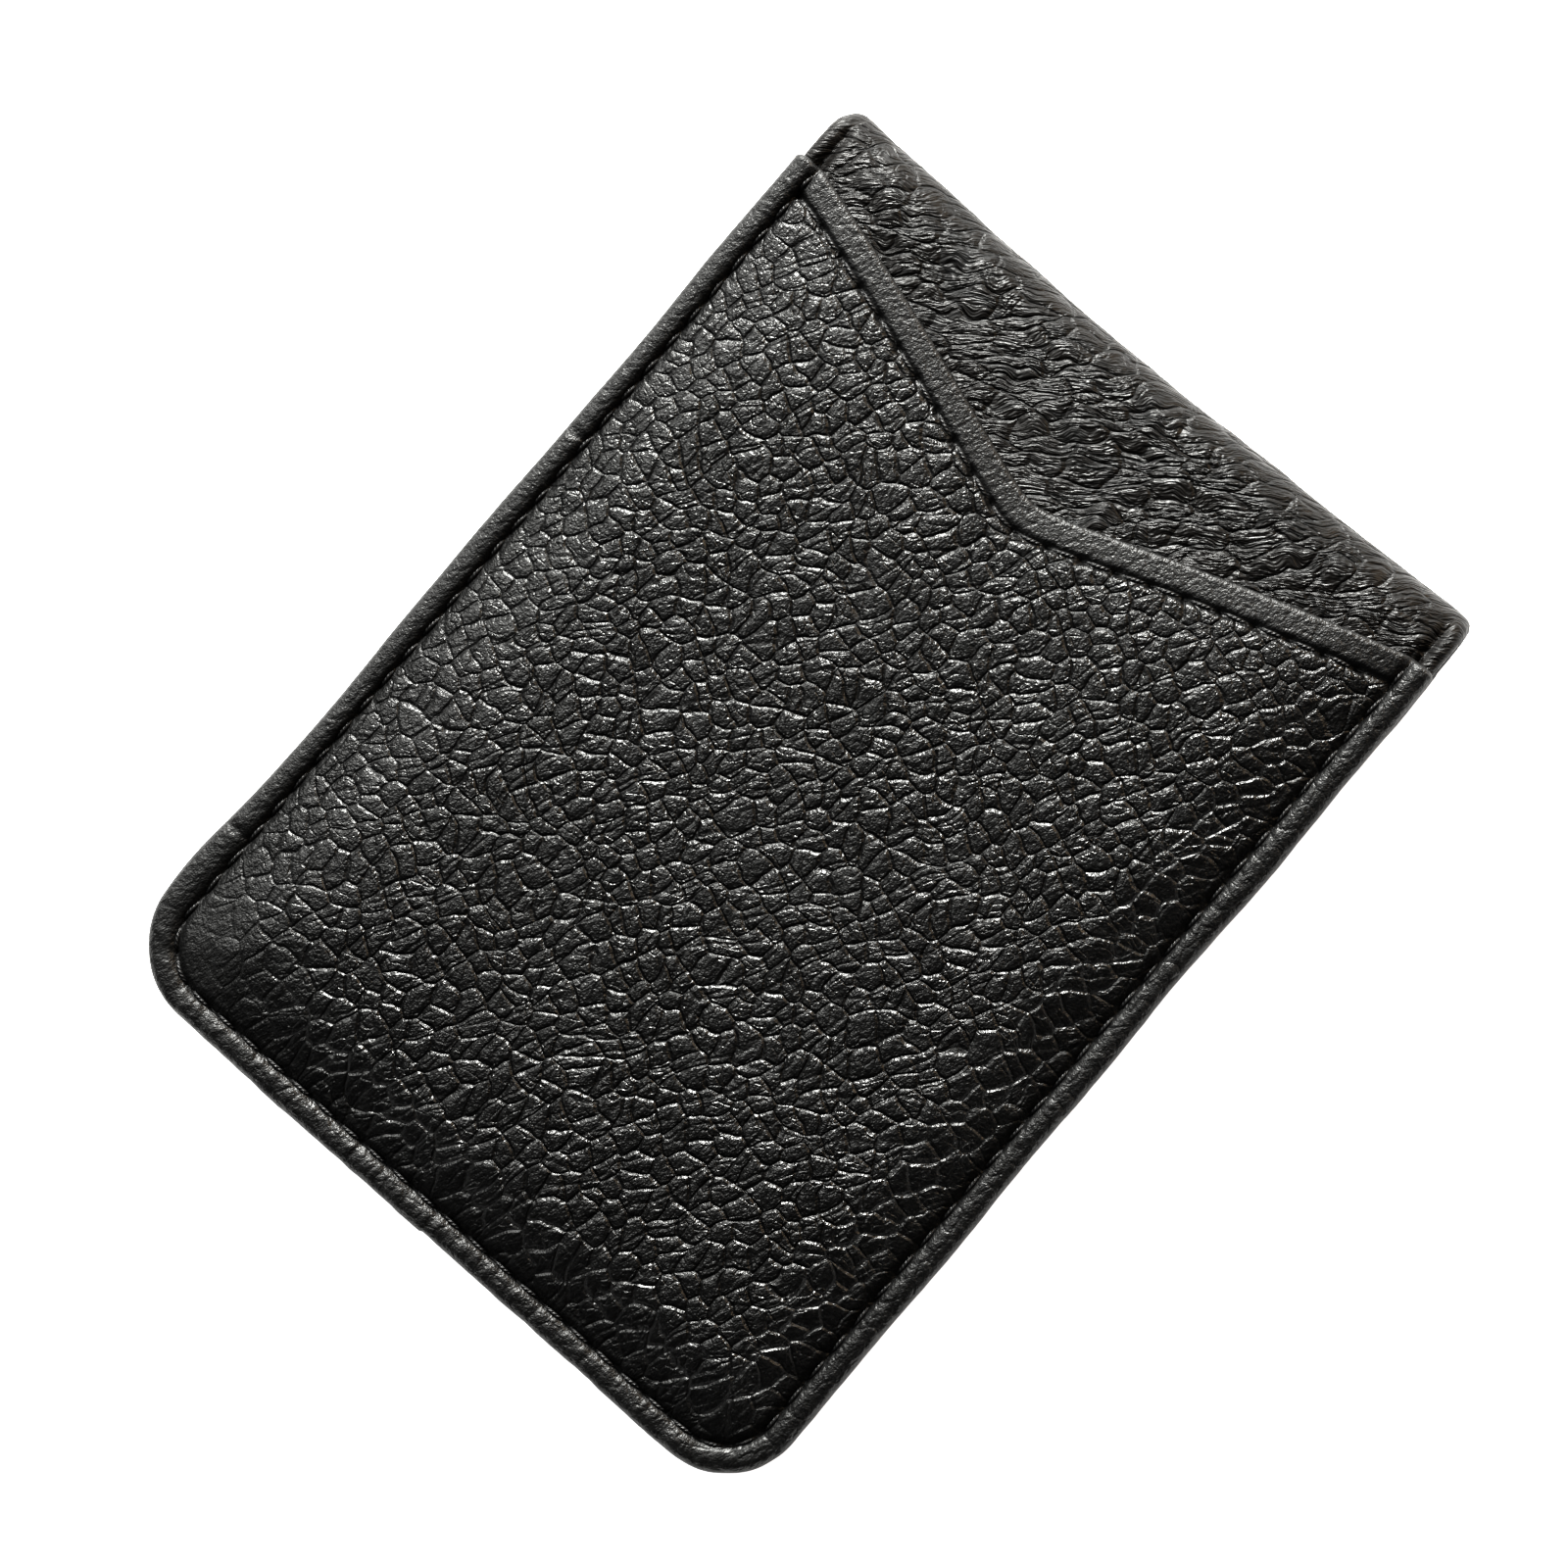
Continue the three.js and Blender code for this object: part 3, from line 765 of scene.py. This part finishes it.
def seam_hold(a):
    """1 where the cover is sewn at its sides; it is free on the roll of the fold."""
    return ease(SEAM_STOP_Y + 1.6, SEAM_STOP_Y - 0.2, a)


def cover_lift(x, a):
    """Height of the cover's face; a runs up the front and on over the fold."""
    side = HALF_WIDTH - COVER_INSET - COVER_SEAM - np.abs(x)
    hold = seam_hold(a)
    trench = -0.42 * np.exp(-(np.maximum(side, 0) / 0.5) ** 2) * hold
    puff = 0.32 * (1 - hold * np.exp(-np.maximum(side, 0) / 2.2))
    slack = 0.13 * uneven(x + a * 0.6, a, 6, 31) + 0.07 * uneven(x + a * 0.8, a * 1.3, 2.6, 32)
    return (trench + puff + slack * ease(0, 2, side)) * ease(70, 62, a)


def cover_hide(x, a):
    """The grain of the fold runs at a slant, and its flakes are drawn out unevenly."""
    turn = math.radians(36)
    along = x * math.cos(turn) + a * math.sin(turn)
    across = -x * math.sin(turn) + a * math.cos(turn)
    along = along + 0.6 * uneven(x, a, 2.1, 33)
    across = across + 0.5 * uneven(x, a, 1.7, 34)
    return 120 + along / 1.9, 60 + across / 0.85, 0 * x


def cover_top(x):
    return 0 * x + COVER_END_Y + 0.15


def cover_press(x, a):
    return 0.9 + 0 * x


front_cover, _ = leaf_sheet(
    "Front_Cover_Leather", fold_leather_look, 2 * FOLD_RADIUS, 1, COVER_INSET, COVER_SEAM, cover_top,
    COVER_RIM, cover_lift, None, COVER_CELL, 17, COVER_CELL, cover_hide, cover_press, 0.5,
)
emboss(front_cover, FLAKE, 0.05)
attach(front_cover, "front_leaf")
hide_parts("front_cover_leather")


# %% A strip that rolls over the fold
def fold_strip(name, material, depth, half, end_y, cell, lift, rim, hide_of, press):
    """Columns across the leaf, rolled round the fold at that depth below the outer face."""
    radius = FOLD_RADIUS - depth
    leg = BEND_Y - end_y
    arc = np.linspace(-leg, math.pi * radius + leg, round((math.pi * radius + 2 * leg) / cell) + 1)
    turn = np.clip(arc / radius, 0, math.pi)
    past = np.maximum(arc - math.pi * radius, 0)
    middle_y = BEND_Y + np.where(arc < 0, arc, 0) - past
    up = np.stack([np.sin(turn), np.cos(turn)], 1)
    columns = np.linspace(-1, 1, round(2 * half / COVER_CELL) + 1) * half
    steps = np.array(rim)
    outside = half + steps[:, 0]
    x = np.concatenate([-outside[::-1], columns, outside])
    rise = np.concatenate([steps[::-1, 1], np.zeros(len(columns)), steps[:, 1]])
    is_face = np.concatenate([np.zeros(len(steps)), np.ones(len(columns)), np.zeros(len(steps))])
    cut_x, a = np.meshgrid(x, BEND_Y + arc)
    free = np.interp(np.abs(cut_x), half + np.array([0, 0.9, 1.5, 1.86]), [0.3, 0.24, 0.0, -0.6])
    rise = np.where(rise > -0.8, free + (rise - free) * (seam_hold(a) if press else 1.0), rise)
    height = np.where(is_face > 0, lift(np.clip(cut_x, -half, half), a), rise)
    out = radius + height
    y = middle_y[:, None] + up[:, :1] * out
    z = FOLD_RADIUS + up[:, 1:] * out
    # the ends of the roll draw in a little, the left one more than the right
    crown = ease(BEND_Y + 1.2, FOLD_TOP_Y, y)
    side = np.sign(cut_x)
    near_end = ease(half - 7, half + 1.5, np.abs(cut_x))
    across = cut_x - side * (0.35 - 0.2 * side) * crown ** 2 * near_end
    points = np.stack([across.ravel(), y.ravel(), z.ravel()], 1)
    index = np.arange(points.shape[0]).reshape(across.shape)
    faces = np.concatenate([quads_between(index[r + 1], index[r]) for r in range(len(arc) - 1)])
    hide = np.stack([h.ravel() for h in hide_of(cut_x, a)], 1)
    amount = np.where(np.tile(is_face, len(arc)) > 0, press, press * 0.5)
    return make_piece(name, as_sewn(points), faces[:, ::-1], hide, amount, material)


cover_half = HALF_WIDTH - COVER_INSET - COVER_SEAM
fold_skin = fold_strip(
    "Fold_Leather", fold_leather_look, 0, cover_half, COVER_END_Y + 0.15, COVER_CELL, cover_lift,
    COVER_RIM, cover_hide, 0.9,
)
emboss(fold_skin, FLAKE, 0.05)
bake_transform(fold_skin)
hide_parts("fold_leather")

LINING_DEPTH = 1.5
LINING_RIM = [(0.1, -0.02), (0.2, -0.1), (0.22, -0.25), (0.1, -0.35)]
lining_low, lining_high = box_mm("fold_lining")
fold_lining = fold_strip(
    "Fold_Lining", lining_cloth, LINING_DEPTH, lining_high[0] - 0.3, lining_low[1], 0.2,
    lambda x, a: 0.04 * uneven(x, a, 5, 41), LINING_RIM, lambda x, a: (x, a, 0 * x), 0.0,
)
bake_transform(fold_lining)
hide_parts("fold_lining")

# %% [markdown]
# ## The back
# The back leaf is the same skin, lying on the table. Its face is almost flat, pressed by a pocket
# or by the table, with the seam let in all round.

# %% Back cover
BACK_RIM = [
    (0.15, -0.3), (0.35, -0.12), (0.65, 0.0), (1.0, 0.02), (1.35, -0.1), (1.65, -0.32), (1.83, -0.62),
    (1.9, -1.0), (1.86, -1.4), (1.66, -1.72), (1.3, -1.85), (0.6, -1.85),
]


def back_height(x, y):
    inner = np.maximum(inside_distance(x, y, COVER_INSET + COVER_SEAM), 0)
    trench = -0.42 * np.exp(-(inner / 0.5) ** 2)
    return trench + 0.05 * uneven(x, y, 15, 51) * ease(0, 4, inner)


def back_hide(x, y):
    return 120 + x, 2 * BEND_Y + math.pi * FOLD_RADIUS - y + 60, 0 * x


def back_pull(base):
    return 0.6 + 0 * base[:, 0]


back_cover, back_seam = leaf_sheet(
    "Back_Cover_Leather", black_leather, 0, -1, COVER_INSET, COVER_SEAM, cover_top, BACK_RIM,
    back_height, None, 0.42, 0, 1.0, back_hide, lambda x, y: 0.85 + 0 * x, 0.4, puckers(back_pull, 61),
)
emboss(back_cover, PEBBLE, 0.06)
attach(back_cover, "back_leaf")
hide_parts("back_cover_leather")

# %% [markdown]
# ## The layers inside
# Each leaf holds a card board, a cloth lining and two card slots. These are cut flat and stay flat,
# but no cut edge is sharp: leather's edges are skived, folded and burnished round. So each layer is
# a thin slab with a rounded edge all the way round, a stitched groove and a slightly worn mouth.

# %% A flat layer with rounded edges
THICKNESS = {
    "stiffener_board": 0.5, "inner_lining": 0.5, "slot_panel_a": 0.55, "slot_panel_b": 0.55,
    "pocket_lining": 0.3,
}
EDGE_TURNS = 6


def flat_layer(name, node, material, body, out, inset, top_of, cell,
               face=None, crown=None, press=0.0):
    """A slab cut to the leaf's outline; face adds detail to its face and crown arches all of it."""
    low, high = box_mm(node)
    thick = THICKNESS[node.split("_", 1)[1]]
    face_level = high[2] if out > 0 else low[2]
    if crown:
        face_level = low[2] + thick
    edge = thick / 2
    x, y, outward = leaf_grid(inset + edge, lambda v: top_of(v) - edge, cell, 0, cell)
    rows, cols = x.shape
    lift = crown(x, y) if crown else 0.012 * uneven(x, y, 9, 71)
    detail = face(x, y) if face else 0 * x
    top = np.stack([x.ravel(), y.ravel(), (lift + detail).ravel()], 1)
    bottom = np.stack([x.ravel(), y.ravel(), (lift - thick).ravel()], 1)
    index, line, way = outline_of(x, outward)
    loop = np.concatenate([line, index[-1, -2:0:-1]])
    way = np.concatenate([way, np.tile([0.0, 1.0], (cols - 2, 1))])
    way[0] = [-0.7, 0.7]
    way[rows + cols - 2 + rows - 1] = [0.7, 0.7]
    points, rings = [top, bottom], [loop]
    total = 2 * len(top)
    for k in range(1, EDGE_TURNS):
        angle = math.pi * k / EDGE_TURNS
        share = (1 - math.cos(angle)) / 2
        ring = top[loop] * (1 - share) + bottom[loop] * share
        ring[:, :2] += way * edge * math.sin(angle)
        points.append(ring)
        rings.append(np.arange(total, total + len(ring)))
        total += len(ring)
    rings.append(loop + len(top))
    faces = [quads_between(index[r], index[r + 1]) for r in range(rows - 1)]
    faces += [quads_between(index[r + 1] + len(top), index[r] + len(top)) for r in range(rows - 1)]
    closed = [np.append(ring, ring[0]) for ring in rings]
    faces += [quads_between(second, first) for first, second in zip(closed, closed[1:])]
    flat = np.concatenate(points)
    faces = np.concatenate(faces)
    if out < 0:
        faces = faces[:, ::-1]
    placed = as_sewn(flat * [1, 1, out] + [0, 0, face_level])
    hide = flat + [10, 20, 0]
    piece = make_piece(name, placed, faces, hide, np.full(len(flat), press), material)
    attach(piece, body)
    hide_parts(node)
    return piece


# %% The layers of both leaves
INNER_SEAM = 2.5
SLOT_SEAM = 2.0


def slot_face(mouth_y):
    """The stitched groove round a slot panel and the pressed line along its mouth."""
    def face(x, y):
        inner = inside_distance(x, y, INNER_SEAM)
        trench = -0.14 * np.exp(-(inner / 0.3) ** 2)
        below = mouth_y - y
        groove = -0.1 * np.exp(-((below - SLOT_SEAM) / 0.3) ** 2)
        pressed_line = -0.05 * np.exp(-((below - 1.0) / 0.2) ** 2)
        return trench + groove + pressed_line + 0.03 * uneven(x, y, 4, 72)

    return face


def lining_face(x, y):
    trench = -0.12 * np.exp(-(inside_distance(x, y, INNER_SEAM) / 0.35) ** 2)
    return trench + 0.03 * uneven(x, y, 7, 73)


def straight_top(node):
    top_y = box_mm(node)[1][1]
    return lambda x: 0 * x + top_y


for side, out in (("back", 1), ("front", -1)):
    body = side + "_leaf"
    Side = side.capitalize()
    node = side + "_stiffener_board"
    flat_layer(
        Side + "_Stiffener_Board", node, board_look, body, out, 3.6, straight_top(node), 1.5,
    )
    node = side + "_inner_lining"
    inner_lining = flat_layer(
        Side + "_Inner_Lining", node, lining_cloth, body, out, 0.5, straight_top(node),
        0.6, lining_face,
    )
    low, high = box_mm(node)
    for letter in "ab":
        node = side + "_slot_panel_" + letter
        mouth_y = box_mm(node)[1][1]
        flat_layer(
            Side + "_Slot_Panel_" + letter.upper(), node, slot_leather, body, out, 0.4,
            straight_top(node), 0.5, slot_face(mouth_y), press=1.0,
        )


def lining_crown(x, y):
    inner = np.maximum(inside_distance(x, y, SEAM_INSET), 0)
    mouth = np.maximum(below_mouth(x, y), 0)
    return 0.9 * (1 - np.exp(-inner / 6)) * (0.2 + 0.8 * (1 - np.exp(-mouth / 9)))


pocket_lining = flat_layer(
    "Front_Pocket_Lining", "front_pocket_lining", lining_cloth, "front_leaf", 1, 0.6,
    lambda x: mouth_edge(x) - 0.7, 0.9, crown=lining_crown,
)
low, high = box_mm("front_pocket_lining")

# %% [markdown]
# ## Stitches
# A machine stitch is a short bridge of thread: it comes up through one hole, lies in the groove and
# goes down through the next. Drawn as one continuous line it would look like a wire. So every
# stitch here is its own small bent capsule, fatter in the middle, whose ends dive into the leather.

# %% Stitch rows
RINGS, SIDES = 9, 8
INNER_THREAD = 0.3


def stitch_row(name, node, body, route, out, pitch, thickness, rise, dip, seed):
    """One capsule per stitch along a route of placed points; rise lifts its middle."""
    route = np.asarray(route, float)
    along = np.concatenate([[0], np.cumsum(np.linalg.norm(np.diff(route[:, :2], axis=0), axis=1))])
    count = int(along[-1] / pitch)
    rng = np.random.default_rng(seed)
    points, faces, hide = [], [], []
    for number in range(count):
        gap = 0.16 + 0.05 * rng.uniform(-1, 1)
        tilt = rng.uniform(-0.07, 0.07)
        fat = 1 + rng.uniform(-0.1, 0.1)
        share = np.linspace(0, 1, RINGS)
        at = pitch * (number + gap / 2 + share * (1 - gap))
        spine = np.stack([np.interp(at, along, route[:, k]) for k in range(3)], 1)
        forward = np.gradient(spine, axis=0)
        forward /= np.linalg.norm(forward, axis=1)[:, None] + 1e-9
        sideways = np.stack([-forward[:, 1], forward[:, 0], 0 * share], 1)
        arch = np.sin(np.pi * share) ** 0.6
        spine[:, 2] += out * (rise * arch - dip * (1 - arch))
        spine += sideways * (tilt * (share - 0.5) * pitch)[:, None]
        swell = np.sin(np.pi * np.clip(share, 0.04, 0.96)) ** 0.5
        radius = thickness / 2 * fat * (0.55 + 0.45 * swell)
        upward = np.cross(forward, sideways)
        base = number * SIDES * RINGS
        for k in range(SIDES):
            turn = 2 * math.pi * k / SIDES
            ring = spine + radius[:, None] * (sideways * math.cos(turn) + upward * math.sin(turn))
            points.append(ring)
            hide.append(np.stack([at, 0 * at + turn, 0 * at], 1))
            first = base + k * RINGS + np.arange(RINGS)
            second = base + ((k + 1) % SIDES) * RINGS + np.arange(RINGS)
            faces.append(quads_between(first, second))
    points = np.concatenate(points)
    piece = make_piece(
        name, points, np.concatenate(faces), np.concatenate(hide), np.zeros(len(points)), thread_look,
    )
    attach(piece, body)
    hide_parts(node)
    print(f"{name}: {count} stitches")
    return piece


def seam_route(seam, out, level):
    return as_sewn(seam * [1, 1, out] + [0, 0, level])


stitch_row(
    "Front_Edge_Stitching", "front_edge_stitching", "front_leaf",
    seam_route(panel_seam, 1, PANEL_LEVEL), 1, STITCH, THREAD, 0.24, 0.3, 81,
)
SMOOTHED_OVER = 41
vee_floor = np.pad(PANEL_LEVEL + panel_height(vee_x, vee_y), SMOOTHED_OVER // 2, "edge")
vee_z = np.convolve(vee_floor, np.ones(SMOOTHED_OVER) / SMOOTHED_OVER, "valid")
mouth_route = np.stack([vee_x, vee_y, vee_z], 1)
stitch_row(
    "Pocket_Mouth_Stitching", "pocket_mouth_stitching", "front_leaf", as_sewn(mouth_route), 1,
    MOUTH_STITCH, THREAD, 0.2, 0.3, 82,
)
stitch_row(
    "Back_Edge_Stitching", "back_edge_stitching", "back_leaf", seam_route(back_seam, -1, 0), -1,
    STITCH, THREAD, 0.12, 0.3, 83,
)


# %% Inside stitch rows
def inner_route(side, out, inset, top_y):
    """The seam line inside a leaf; it steps down past each slot mouth."""
    x, y, outward = leaf_grid(inset, lambda v: 0 * v + top_y, 1.0, 0, 1.0)
    line = np.stack([x.ravel(), y.ravel()], 1)[outline_of(x, outward)[1]]
    levels = []
    for layer in ("slot_panel_b", "slot_panel_a", "inner_lining"):
        low, high = box_mm(f"{side}_{layer}")
        levels.append((high[2] if out > 0 else low[2], high[1]))
    z = np.full(len(line), levels[0][0])
    for (upper, mouth_y), (lower, _) in zip(levels, levels[1:]):
        z = z + (lower - upper) * ease(mouth_y - 0.4, mouth_y + 0.8, line[:, 1])
    return as_sewn(np.column_stack([line, z]))


for side, out in (("back", 1), ("front", -1)):
    Side = side.capitalize()
    body = side + "_leaf"
    stitch_row(
        Side + "_Inner_Edge_Stitching", side + "_inner_edge_stitching", body,
        inner_route(side, out, INNER_SEAM, 45), out, STITCH, INNER_THREAD, 0.0, 0.2, 84,
    )
    for letter in "ab":
        low, high = box_mm(f"{side}_slot_panel_{letter}")
        row = np.linspace(-34, 34, 60)
        level = high[2] if out > 0 else low[2]
        route = np.stack([row, 0 * row + high[1] - SLOT_SEAM, 0 * row + level], 1)
        stitch_row(
            f"{Side}_Slot_Stitching_{letter.upper()}", f"{side}_slot_stitching_{letter}", body,
            as_sewn(route), out, STITCH, INNER_THREAD, 0.0, 0.2, 85,
        )

# %% [markdown]
# ## Light, floor and camera
# Black leather on a white table is a matter of reflections. One large soft light stands at the left
# and is seen in the pillow's left shoulder as a pale band. A lower one behind the fold draws the
# bright side of every pebble, and a small warm one puts brown in the roll of the fold. The right
# and the near side have no light of their own and go dark.

# %% Stage
view = bpy.context.scene.view_settings
view.view_transform = "Standard"
view.look = "None"
view.gamma = 0.8
view.exposure = 0.3

FLOOR_HALF = 2
FLOOR_Z = -0.0002
paper, paper_bench, paper_skin = start_material("White Paper")
paper_skin.inputs["Base Color"].default_value = (0.93, 0.93, 0.93, 1)
paper_skin.inputs["Roughness"].default_value = 0.9
paper_skin.inputs["Emission Color"].default_value = (1, 1, 1, 1)
paper_skin.inputs["Emission Strength"].default_value = 0.85
floor_mesh = bpy.data.meshes.new("Floor")
around = ((-1, -1), (1, -1), (1, 1), (-1, 1))
floor_mesh.from_pydata([(FLOOR_HALF * x, FLOOR_HALF * y, FLOOR_Z) for x, y in around], [], [(0, 1, 2, 3)])
floor_mesh.materials.append(paper)
floor = bpy.data.objects.new("Floor", floor_mesh)
bpy.context.scene.collection.objects.link(floor)
floor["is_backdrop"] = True

world = bpy.data.worlds.new("Studio")
bpy.context.scene.world = world
world.use_nodes = True
background = world.node_tree.nodes["Background"]
background.inputs["Color"].default_value = (1, 1, 1, 1)
background.inputs["Strength"].default_value = 0.04


def soft_light(name, direction, distance, size, radiance, colour=(1, 1, 1)):
    """A square light that faces the object; radiance is how bright its surface looks."""
    data = bpy.data.lights.new(name, "AREA")
    data.shape = "RECTANGLE"
    data.size, data.size_y = size
    data.energy = radiance * size[0] * size[1] * math.pi
    data.color = colour
    light = bpy.data.objects.new(name, data)
    toward = Vector(direction).normalized()
    light.location = toward * distance
    light.rotation_euler = toward.to_track_quat("Z", "Y").to_euler()
    bpy.context.scene.collection.objects.link(light)


soft_light("Left Softbox", (-0.74, 0.1, 0.67), 1.0, (0.3, 0.8), 9.0, (1, 1, 0.97))
soft_light("Top Softbox", (-0.6, 0.71, 0.4), 1.1, (0.3, 0.2), 240.0, (1, 1, 0.97))
soft_light("Warm Fold Light", (0.25, 0.9, 0.42), 1.0, (0.4, 0.25), 8.0, (1, 0.74, 0.48))

# %% Camera
CAMERA_DISTANCE = 0.3961
target = Vector((-1.28, 0.99, 7.0)) * MM
tilt, swing, roll = math.radians(7.09), math.radians(14.74), math.radians(40.39)
back = Vector((math.sin(tilt) * math.cos(swing), math.sin(tilt) * math.sin(swing), math.cos(tilt)))
up_hint = Vector((-math.sin(roll), math.cos(roll), 0))
right = up_hint.cross(back).normalized()
up = back.cross(right)
camera_data = bpy.data.cameras.new("Camera")
camera_data.lens = 100
camera_data.sensor_width = 36
camera = bpy.data.objects.new("Camera", camera_data)
camera.matrix_world = Matrix(
    [[right[i], up[i], back[i], (target + back * CAMERA_DISTANCE)[i]] for i in range(3)] + [[0, 0, 0, 1]]
)
bpy.context.scene.collection.objects.link(camera)
bpy.context.scene.camera = camera

low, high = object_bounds()
print("visual box mm", [round(v / MM, 2) for v in low], [round(v / MM, 2) for v in high])
